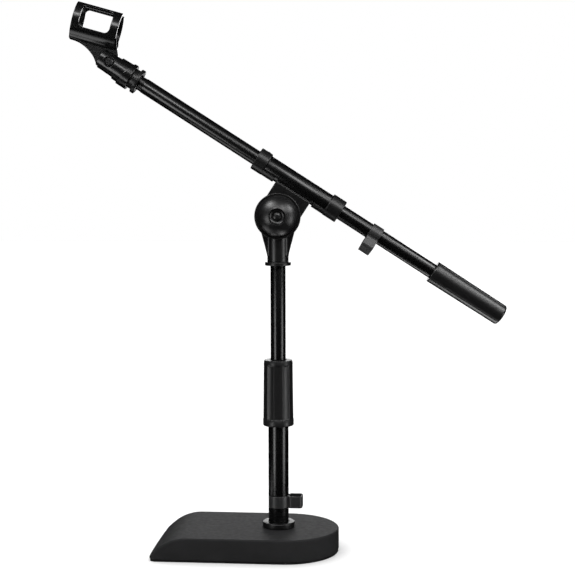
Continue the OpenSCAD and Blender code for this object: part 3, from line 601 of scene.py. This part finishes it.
def bracket_solid(x, y, z):
    """Two cheeks beside the post, bridged above it, with a bead that the sleeve lies in."""
    plate = box2(x, z - BRACKET_TOP / 2, BRACKET_HALF, BRACKET_TOP / 2, 0.4)
    face = np.minimum(length(x, z) - BRACKET_HALF, plate)
    block = meet(CAST_EDGE, face, np.abs(y) - CHEEK_OUT)
    inside = np.maximum(np.abs(y) - CHEEK_IN, z - BRIDGE_LOW)
    sleeve = length(y, z - LIFT) - SLEEVE_SEAT
    bead = np.maximum(join(2.0, block, sleeve), np.abs(x) - BRACKET_HALF)
    cut = meet(0.4, bead, -inside)
    return np.maximum(np.maximum(cut, -sleeve), -(length(x, z) - BOLT_BORE_R))


lo, hi = span("tilt_bracket", TILT)
moulded("tilt_bracket_cast", "tilt_bracket", bracket_solid, lo, hi, CAST_STEP, TILT, JOINT_PAINT)

lo, hi = span("boom_sleeve", BOOM)
turned("boom_sleeve_turned", "boom_sleeve", tube_path(SLEEVE_R, SLEEVE_BORE, lo[0], hi[0]),
       BOOM @ ALONG_X, PAINT, 128)

COLLAR_R, COLLAR_WALL, COLLAR_STEP = 12.35, 3.5, 0.5
COLLAR_TONGUE, TONGUE_OUT, TONGUE_ARC = 14.0, 12.0, math.radians(55)
LOCK_BOSS_R, LOCK_BOSS_Y = 6.5, (8, 16)


def collar(mouth, skirt, tongue_end, boss_x=None):
    """A collar with a wall at its mouth, open at its skirt, and a tongue on under the sleeve."""
    if tongue_end < skirt:
        reach = tongue_end, skirt + 2
    else:
        reach = skirt - 2, tongue_end

    def solid(x, y, z):
        rho = length(y, z)
        ring = meet(0.8, rho - COLLAR_R, slab(x, min(mouth, skirt), max(mouth, skirt)))
        side = (np.abs(np.arctan2(y, -z)) - TONGUE_ARC) * rho
        out = np.minimum(ring, meet(0.3, slab(rho, SLEEVE_R, TONGUE_OUT), side, slab(x, *reach)))
        if boss_x is not None:
            boss = meet(0.5, length(x - boss_x, z) - LOCK_BOSS_R, slab(y, *LOCK_BOSS_Y))
            out = join(1.0, out, boss)
        deep = np.sign(skirt - mouth) * (x - mouth) - COLLAR_WALL
        seat = np.maximum(rho - SLEEVE_SEAT, -deep)
        return meet(0.25, np.maximum(out, -seat), SLIM_R + 0.1 - rho)

    return solid


lock_lo, lock_hi = span("boom_lock_knob", BOOM)
LOCK_X = (lock_lo[0] + lock_hi[0]) / 2
lo, hi = span("front_collar", BOOM)
moulded("front_collar_moulded", "front_collar", collar(lo[0], hi[0] - COLLAR_TONGUE, hi[0], LOCK_X),
        lo, hi, COLLAR_STEP, BOOM, SATIN)
lo, hi = span("rear_collar", BOOM)
moulded("rear_collar_moulded", "rear_collar", collar(hi[0], lo[0] + COLLAR_TONGUE, lo[0]),
        lo, hi, COLLAR_STEP, BOOM, SATIN)

# boom lock knob, with finger scallops round its edge
LOCK_R, LOCK_H = (lock_hi[0] - lock_lo[0]) / 2, lock_hi[1] - lock_lo[1]
SCALLOPS, SCALLOP_DEPTH, SCALLOP_FROM, SCALLOP_RUN_IN = 18, 0.35, 2.5, 1.2


def lock_radius(r, h, a):
    """The knob's radius r at height h, less the depth of a scallop at angle a."""
    if r < LOCK_R - 2.2 or h < SCALLOP_FROM:
        return r
    dip = max(0.0, math.cos(SCALLOPS * a) + 0.3)
    return r - SCALLOP_DEPTH * dip * min(1.0, (h - SCALLOP_FROM) / SCALLOP_RUN_IN)


lock_knob = [(0, 0), (LOCK_R - 4, 0, 0.6), (LOCK_R - 0.4, 3.0, 1.0), (LOCK_R, 5.5, 1.0), (LOCK_R, 7.5),
             (LOCK_R, LOCK_H - 2.6, 1.2), (LOCK_R - 3.2, LOCK_H, 1.5), (3, LOCK_H - 0.4, 1.0),
             (0, LOCK_H - 0.4)]
lock_foot = BOOM @ Vector((LOCK_X * MM, lock_lo[1] * MM, 0))
turned("boom_lock_knob_moulded", "boom_lock_knob", rounded(lock_knob, 4),
       axes_frame(BOOM_X, TILT_Y, lock_foot) @ ALONG_Y, GLOSS, SCALLOPS * 10, lock_radius, sharp=50,
       closed=False)

# big tilt knob: thin rim, dome, dish and a button in the middle, measured forwards from the pivot
KNOB_LO, KNOB_HI = span("tilt_knob", TILT)
KNOB_R = (KNOB_HI[0] - KNOB_LO[0]) / 2
KNOB_BORE, HUB_R, HUB_BACK, HUB_ROOT, SKIRT_R, SKIRT_ROOT = 4.5, 9.5, 12.6, 19.0, 18.3, 17.5
RIM_BACK, RIM_FRONT, DOME_R, DOME_H, DISH_R, DISH_Y = 13.8, 15.8, 21.3, 16.6, 8.6, 27.0
LIP, BOWL_FLOOR_R, BUTTON_R = 0.35, 4.3, 4.5
CAP_FRONT = -span("knob_cap", TILT)[0][1]


def dome(r):
    return RIM_FRONT + DOME_H * math.sqrt(max(0.0, 1 - (r / (DOME_R + 0.3)) ** 2))


def knob_path():
    """From the hub's bore out round the rim, over the dome and down into the dish."""
    path = rounded([(KNOB_BORE, HUB_BACK), (HUB_R, HUB_BACK, 0.5), (HUB_R, HUB_ROOT, 0.5),
                    (SKIRT_R, SKIRT_ROOT, 0.5), (SKIRT_R, RIM_BACK, 0.5), (KNOB_R, RIM_BACK, 0.95),
                    (KNOB_R, RIM_FRONT + 0.1, 1.0), (DOME_R + 1.3, RIM_FRONT + 0.1)], 6)
    # a fine groove between the rim and the dome
    path += [(DOME_R + 0.55, RIM_FRONT - 0.35), (DOME_R + 0.2, RIM_FRONT - 0.3),
             (DOME_R + 0.05, RIM_FRONT + 0.4)]
    for t in np.linspace(0.045, 1, 40):
        r = DOME_R + (DISH_R + 0.25 - DOME_R) * t
        path.append((r, dome(r)))
    edge = dome(DISH_R)
    path += rounded([(DISH_R + 0.25, edge), (DISH_R, edge + 0.05, 0.2), (DISH_R - LIP, edge - 0.7)], 4)
    bowl_r, bowl_top = DISH_R - LIP - BOWL_FLOOR_R, edge - 0.8
    for a in np.radians(np.linspace(0, 90, 12)):
        path.append((BOWL_FLOOR_R + bowl_r * math.cos(a), bowl_top - (bowl_top - DISH_Y) * math.sin(a)))
    path.append((4.0, DISH_Y))
    return path


turned("tilt_knob_domed", "tilt_knob", knob_path(), TILT @ TO_FRONT, KNOB_GLOSS, 160, sharp=50)
button = [(0, DISH_Y - 0.1), (BUTTON_R, DISH_Y - 0.1), (BUTTON_R, DISH_Y + 0.8, 0.5),
          (BUTTON_R - 0.8, CAP_FRONT - 0.9, 0.8), (2.0, CAP_FRONT - 0.1, 1.0), (0, CAP_FRONT)]
turned("tilt_knob_button", "knob_cap", rounded(button), TILT @ TO_FRONT, KNOB_GLOSS, 64, sharp=60,
       closed=False)

# -------------------------------------------------------------------- boom

lo, hi = span("boom_tube", BOOM)
turned("boom_tube_painted", "boom_tube", tube_path(SLIM_R, SLIM_R - SLIM_WALL, lo[0], hi[0]),
       BOOM @ ALONG_X, PAINT, 128)

# tip ring: a narrow barrel, then a wider band with a shallow recess in its end
lo, hi = span("tip_ring", BOOM)
TIP_BORE, TIP_BARREL_R, TIP_BAND_R, TIP_BAND = 4.8, 10.85, 13.4, 3.9
tip_ring = [(TIP_BORE, lo[0]), (TIP_BARREL_R, lo[0], 0.4), (TIP_BARREL_R, hi[0] - TIP_BAND, 0.3),
            (TIP_BAND_R, hi[0] - TIP_BAND, 0.6), (TIP_BAND_R, hi[0], 0.6), (8.6, hi[0], 0.3),
            (7.6, hi[0] - 0.5), (TIP_BORE, hi[0] - 0.5)]
turned("tip_ring_turned", "tip_ring", rounded(tip_ring), BOOM @ ALONG_X, SATIN)

# counterweight: a slightly tapered rubber cover, with fine raised creases along it, and a domed cap
CREASES = [math.radians(-90 - a) for a in (-42, 61, 138, 241)]
CREASE_RISE, CREASE_WIDTH = 0.24, 0.42
lo, hi = span("counterweight_cover", BOOM)
COVER_0, COVER_1 = lo[0], hi[0]
COVER_R0, COVER_R1, COVER_IN, COVER_BORE = 12.0, 11.3, 10.3, SLIM_R + 0.1


def cover_radius(r, h, a):
    """The cover's radius r at height h, with the rise of a crease near angle a."""
    if r < COVER_R1 - 0.9:
        return r
    near = min(abs((a - c + math.pi) % (2 * math.pi) - math.pi) for c in CREASES) * r
    fade_in = min(1.0, max(0.0, (h - COVER_0 - 0.6) / 2))
    fade_out = min(1.0, max(0.0, (COVER_1 - 0.6 - h) / 2))
    return r - 0.05 + CREASE_RISE * fade_in * fade_out * math.exp(-(near / CREASE_WIDTH) ** 2)


def cover_path():
    path = [(COVER_BORE, COVER_0), (COVER_R0, COVER_0, 0.9)]
    for t in (0.03, 0.06, 0.3, 0.7, 0.94, 0.97):
        path.append((COVER_R0 + (COVER_R1 - COVER_R0) * t, COVER_0 + (COVER_1 - COVER_0) * t))
    path += [(COVER_R1, COVER_1, 0.3), (COVER_IN, COVER_1), (COVER_IN, COVER_0 + 3),
             (COVER_BORE, COVER_0 + 3)]
    return rounded(path)


turned("counterweight_cover_moulded", "counterweight_cover", cover_path(), BOOM @ ALONG_X, WEIGHT, 300,
       cover_radius, sharp=40)
lo, hi = span("counterweight_cap", BOOM)
CAP_R, CAP_FOOT = 10.2, COVER_1 + 0.05
cap = [(0, lo[0]), (CAP_R, lo[0]), (CAP_R, CAP_FOOT), (COVER_R1 - 0.3, CAP_FOOT, 0.5),
       (COVER_R1 - 1.1, COVER_1 + 1.3, 1.2), (COVER_R1 - 4.2, hi[0] - 0.35, 3.0), (0, hi[0])]
turned("counterweight_cap_domed", "counterweight_cap", rounded(cap, 6), BOOM @ ALONG_X, WEIGHT,
       sharp=60, closed=False)

# --------------------------------------------------------- microphone clip

SOCKET_LO, SOCKET_HI = span("clip_base", CLIP_BASE)
REACH, EAR_END = SOCKET_HI[0], -SOCKET_LO[0]
EAR_R, MOUTH_R, RIM_R, RIM_MID, RIM_LEAN = 11.8, 12.75, 13.9, 8.0, math.radians(15)
EAR_HEIGHT, EAR_FLARE, EAR_FLARE_X = 12.1, 0.03, -4
EAR_ROUND_TOP, EAR_ROUND_LOW = 7.3, 4.3
SLOT_HALF, SLOT_END = 6.6, 9.2
RECESS_R, RECESS_Y, NUT_HALF, SCREW_BORE_R = 5.6, 9.6, 4.16, 2.56
THREAD_R, THREAD_DEPTH = 7.92, 13


def socket_solid(x, y, z):
    """A flaring socket with a stepped, leaning rim, slotted at the other end into two ears."""
    rho = length(y, z)
    cone = rho - (EAR_R + (MOUTH_R - EAR_R) * (x + EAR_END) / (REACH + EAR_END))
    ease = EAR_FLARE * np.maximum(x - EAR_FLARE_X, 0)

    def ear_corner(radius, height):
        u, v = -EAR_END + radius - x, height - (EAR_HEIGHT - radius) - ease
        return length(np.maximum(u, 0), np.maximum(v, 0)) + np.minimum(np.maximum(u, v), 0) - radius

    body = meet(0.6, cone, ear_corner(EAR_ROUND_TOP, z), ear_corner(EAR_ROUND_LOW, -z), x - REACH)
    lean = (REACH - RIM_MID - x) * math.cos(RIM_LEAN) + z * math.sin(RIM_LEAN)
    rim = meet(0.5, rho - RIM_R, x - REACH, lean)
    body = np.minimum(body, rim)
    slot = np.maximum(np.abs(y) - SLOT_HALF, x - SLOT_END)
    screw = length(x, z)
    hexagon = np.maximum.reduce([np.abs(x * math.cos(a) + z * math.sin(a)) - NUT_HALF
                                 for a in np.radians([30, 90, 150])])
    body = meet(0.35, body, -slot)
    body = meet(0.35, body, -np.maximum(screw - RECESS_R, y + RECESS_Y))
    body = meet(0.2, body, -np.maximum(hexagon, RECESS_Y - y))
    body = np.maximum(body, -(screw - SCREW_BORE_R))
    return np.maximum(body, -np.maximum(rho - THREAD_R, REACH - THREAD_DEPTH - x))


moulded("clip_socket_moulded", "clip_base", socket_solid, SOCKET_LO, SOCKET_HI, 0.32, CLIP_BASE, GLOSS)

HOLDER_LO, HOLDER_HI = span("mic_clip", CLIP)
BARREL_R, BARREL_WALL, BARREL_UP, GAP_HALF = 19.7, 2.9, 34.5, math.radians(25)
BARREL_X0, BARREL_X1 = -47.2, 0.8
WINDOW_X0, WINDOW_X1, WINDOW_HALF, WINDOW_CORNER = -39.8, -7.4, 12.13, 5.1
WINDOW_MID = math.radians(14)
LUG_R, LUG_HALF = 8.6, 6.15
SPREAD_FROM, SPREAD_OVER, SPREAD = 15, 9, 7.5       # the neck widens from the lug to the barrel
HOLLOW_R, HOLLOW_X, HOLLOW_Z = 39.2, -47, -24.6     # the concave curve under the barrel
NECK = [(BARREL_X0, BARREL_UP), (BARREL_X0, 14.6), (-16, -4), (0, -LUG_R), (LUG_R, 0), (6.4, 10.7),
        (3, 18.5), (BARREL_X1, 24.6), (BARREL_X1, BARREL_UP)]


def holder_solid(x, y, z):
    """A C-shaped barrel with a window in each side, on a neck that narrows to the screw's lug."""
    up = z - BARREL_UP
    rho = length(y, up)
    mid = BARREL_R - BARREL_WALL / 2
    end = length(np.abs(y) - mid * math.sin(GAP_HALF), up - mid * math.cos(GAP_HALF))
    band = np.where(np.arctan2(np.abs(y), up) > GAP_HALF, np.abs(rho - mid), end) - BARREL_WALL / 2
    barrel = meet(0.6, band, slab(x, BARREL_X0, BARREL_X1))
    side = meet(0.3, polygon2(x, z, NECK), HOLLOW_R - length(x - HOLLOW_X, z - HOLLOW_Z))
    side = np.minimum(side, length(x, z) - LUG_R)
    t = np.clip((z - SPREAD_FROM) / SPREAD_OVER, 0, 1)
    width = LUG_HALF + SPREAD * t * t * (3 - 2 * t)
    neck = meet(0.8, side, np.abs(y) - width)
    body = join(2.5, barrel, neck)
    body = np.maximum(body, slab(x, BARREL_X0, 9))
    body = meet(0.4, body, BARREL_R - BARREL_WALL - rho)
    u = np.abs(y) * math.cos(WINDOW_MID) + up * math.sin(WINDOW_MID)
    v = -np.abs(y) * math.sin(WINDOW_MID) + up * math.cos(WINDOW_MID)
    window = box2(x - (WINDOW_X0 + WINDOW_X1) / 2, v, (WINDOW_X1 - WINDOW_X0) / 2, WINDOW_HALF,
                  WINDOW_CORNER)
    body = meet(0.8, body, -np.maximum(window, -u))
    return np.maximum(body, -(length(x, z) - SCREW_BORE_R))


moulded("mic_clip_moulded", "mic_clip", holder_solid, HOLDER_LO, HOLDER_HI, 0.4, CLIP, GLOSS)

# ------------------------------------------------- CAD nodes that are kept

BEVEL_MM = {"base_pad": 0.5, "tilt_bolt": 0.5, "tilt_bolt_washer": 0.3, "clip_screw": 0.15,
            "clip_nut": 0.3, "knob_spacer": 0.3, "friction_washers": 0.15, "clutch_body": 0.4,
            "clutch_collet": 0.3, "tip_stud": 0.3, "base_bolt": 0.5, "base_washer": 0.3,
            "thread_adapter": 0.3}
WELD_MM = 0.002
for name, obj in NODES.items():
    if obj.hide_render:
        continue
    material = PAINT if name == "tip_stud" else FINISH[SLOT_OF[name]]
    obj.data.materials.clear()
    obj.data.materials.append(material)
    weld = obj.modifiers.new("weld", "WELD")
    weld.merge_threshold = WELD_MM * MM
    if name in BEVEL_MM:
        bevel = obj.modifiers.new("bevel", "BEVEL")
        bevel.width = BEVEL_MM[name] * MM
        bevel.segments = 3
        bevel.limit_method = "ANGLE"
        bevel.angle_limit = math.radians(40)
    normals = obj.modifiers.new("normals", "WEIGHTED_NORMAL")
    normals.keep_sharp = True

# ------------------------------------------------------------------- stage


def plain(name, color, rough):
    mat = bpy.data.materials.new(name)
    mat.use_nodes = True
    bsdf = mat.node_tree.nodes["Principled BSDF"]
    bsdf.inputs["Base Color"].default_value = (*color, 1)
    bsdf.inputs["Roughness"].default_value = rough
    bsdf.inputs["Specular IOR Level"].default_value = 0.0
    return mat


FLOOR_HALF = 6.0
floor_corners = [(sx * FLOOR_HALF, sy * FLOOR_HALF, 0) for sx, sy in ((-1, -1), (1, -1), (1, 1), (-1, 1))]
mesh = bpy.data.meshes.new("floor")
mesh.from_pydata(floor_corners, [], [(0, 1, 2, 3)])
floor = bpy.data.objects.new("floor", mesh)
bpy.context.scene.collection.objects.link(floor)
floor.data.materials.append(plain("pale_floor", (0.9, 0.9, 0.9), 0.9))
floor.visible_glossy = False

scene = bpy.context.scene
scene.view_settings.view_transform = "Standard"
world = bpy.data.worlds.new("studio")
scene.world = world
world.use_nodes = True
background = world.node_tree.nodes["Background"]
background.inputs["Color"].default_value = (1, 1, 1, 1)
background.inputs["Strength"].default_value = 1.0
world.cycles_visibility.diffuse = False
world.cycles_visibility.glossy = False


def softbox(name, at, aim, width, height, level):
    """A rectangular light of a given brightness, which only shows in gloss."""
    data = bpy.data.lights.new(name, "AREA")
    data.shape = "RECTANGLE"
    data.size, data.size_y = width, height
    data.energy = level * math.pi * width * height
    obj = bpy.data.objects.new(name, data)
    bpy.context.scene.collection.objects.link(obj)
    obj.location = at
    obj.rotation_euler = (Vector(aim) - Vector(at)).to_track_quat("-Z", "Y").to_euler()
    obj.visible_camera = False
    obj.visible_diffuse = False


MIDDLE = Vector((0, 0, 0.3))
LOW_MIDDLE = MIDDLE - Vector((0, 0, 0.15))
KNOB_AT = Vector((0, 0, 0.36))


def around(azimuth, elevation, distance, centre=MIDDLE):
    """A point seen from the centre at an azimuth (0 is the camera's side, + to its right)."""
    a, e = math.radians(azimuth), math.radians(elevation)
    way = Vector((math.sin(a) * math.cos(e), -math.cos(a) * math.cos(e), math.sin(e)))
    return centre + distance * way


sky = bpy.data.lights.new("sky", "SUN")
sky.energy = 4.3
sky.angle = math.radians(110)
sky_object = bpy.data.objects.new("sky", sky)
scene.collection.objects.link(sky_object)
sky_object.visible_glossy = False
softbox("key", around(33, 37, 2.4), MIDDLE, 0.85, 0.85, 8.5)
softbox("strip_left", around(-42, -12, 1.6), LOW_MIDDLE, 0.5, 0.8, 5.5)
softbox("strip_right", around(71, -12, 1.6), LOW_MIDDLE, 0.5, 0.8, 5.0)
softbox("knob_left", around(-50, 52, 1.5, KNOB_AT), KNOB_AT, 0.7, 0.6, 12.0)
softbox("knob_right", around(74, 31, 1.5, KNOB_AT), KNOB_AT, 0.6, 0.6, 10.0)
softbox("clip_front", (-0.116, -1.242, 1.39), (-0.187, 0, 0.55), 0.5, 0.3, 12.0)
softbox("back_card", (0.0, 3.0, 0.66), (0, 0, 0.3), 2.0, 0.7, 4.0)
softbox("under_card", (0.0, 0.1, -0.5), (0, 0, 1), 0.6, 0.5, 4.5)
softbox("low_card", (-0.55, -0.07, -0.30), (0, 0, 0.4), 0.4, 0.4, 2.2)

# ------------------------------------------------------------------ camera

FOCAL_PX, FRAME_PX, SENSOR = 1348.0, 575.0, 36.0
CAMERA_AT = Vector((0.1360, -1.4018, 0.4037))
YAW, PITCH, ROLL = math.radians(5.138), math.radians(5.009), math.radians(-0.129)
forward = Vector((-math.sin(YAW) * math.cos(PITCH), math.cos(YAW) * math.cos(PITCH),
                  -math.sin(PITCH)))
right = Vector((math.cos(YAW), math.sin(YAW), 0))
upward = right.cross(forward)
right_rolled = right * math.cos(ROLL) + upward * math.sin(ROLL)
up_rolled = upward * math.cos(ROLL) - right * math.sin(ROLL)
camera_data = bpy.data.cameras.new("camera")
camera_data.sensor_width = SENSOR
camera_data.lens = SENSOR * FOCAL_PX / FRAME_PX
camera = bpy.data.objects.new("camera", camera_data)
scene.collection.objects.link(camera)
pose = Matrix((right_rolled, up_rolled, -forward)).transposed().to_4x4()
pose.translation = CAMERA_AT
camera.matrix_world = pose
scene.camera = camera
